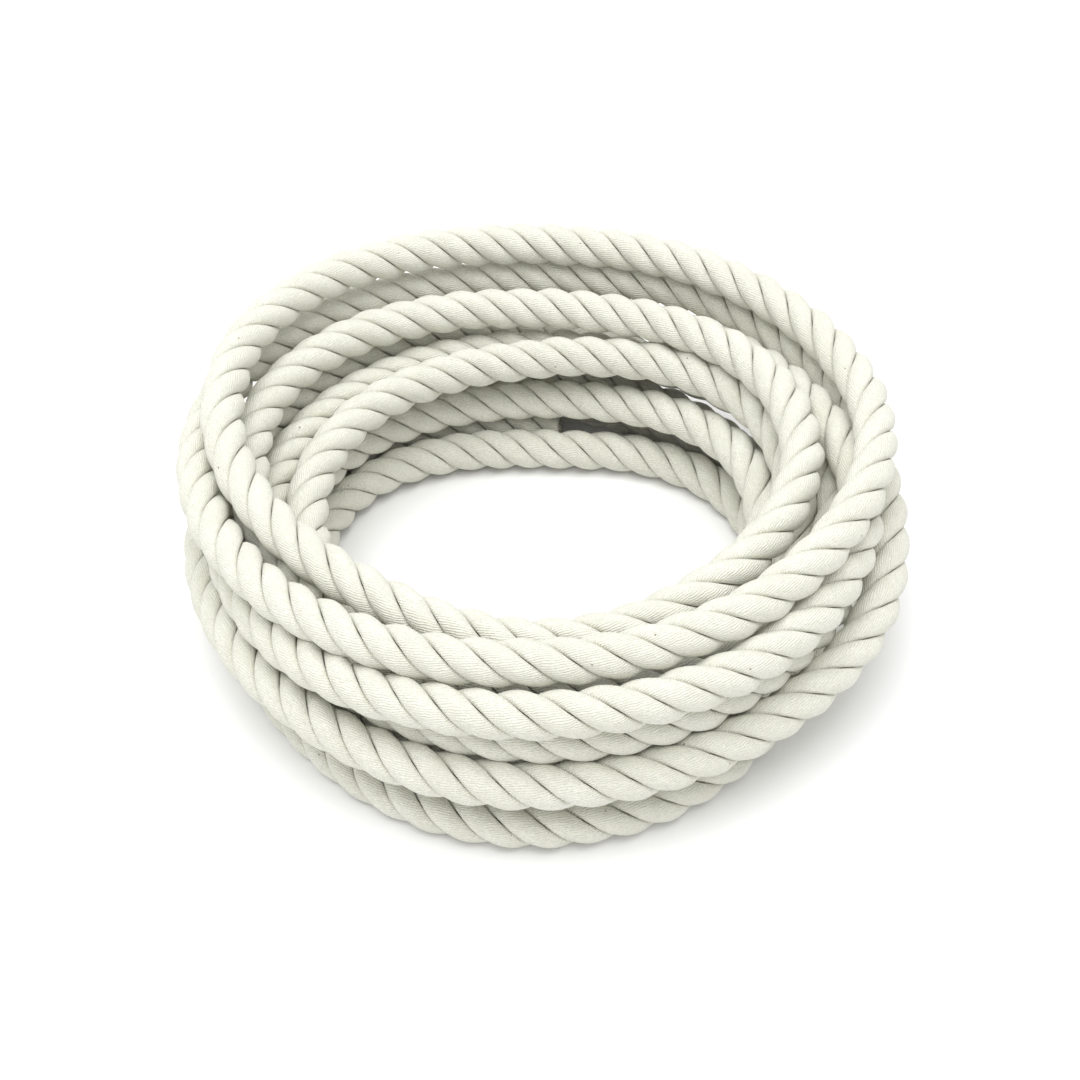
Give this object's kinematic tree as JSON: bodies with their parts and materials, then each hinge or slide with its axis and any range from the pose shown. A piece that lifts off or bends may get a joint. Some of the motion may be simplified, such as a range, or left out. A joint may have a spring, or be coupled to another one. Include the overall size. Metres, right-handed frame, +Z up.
{
  "type": "coiled rope",
  "caption": "Thick three-strand natural cotton rope, wound by hand into a loose open coil of crossing turns, with a bare cut end.",
  "frame": {"origin": "centre of the coil's box, on the plane it lies on", "axes": "+Z up; the cut end is at the back (+Y), low inside the coil"},
  "size_m": [0.271, 0.267, 0.0876],
  "materials": {
    "cotton": "natural undyed cotton yarn, matt and slightly fuzzy"
  },
  "bodies": {
    "root": {"rope_turn_01": "cotton", "rope_turn_02": "cotton", "rope_turn_03": "cotton", "rope_turn_04": "cotton", "rope_turn_05": "cotton", "rope_turn_06": "cotton", "rope_turn_07": "cotton", "rope_turn_08": "cotton", "rope_turn_09": "cotton", "rope_turn_10": "cotton", "rope_turn_11": "cotton", "rope_turn_12": "cotton"}
  },
  "joints": []
}
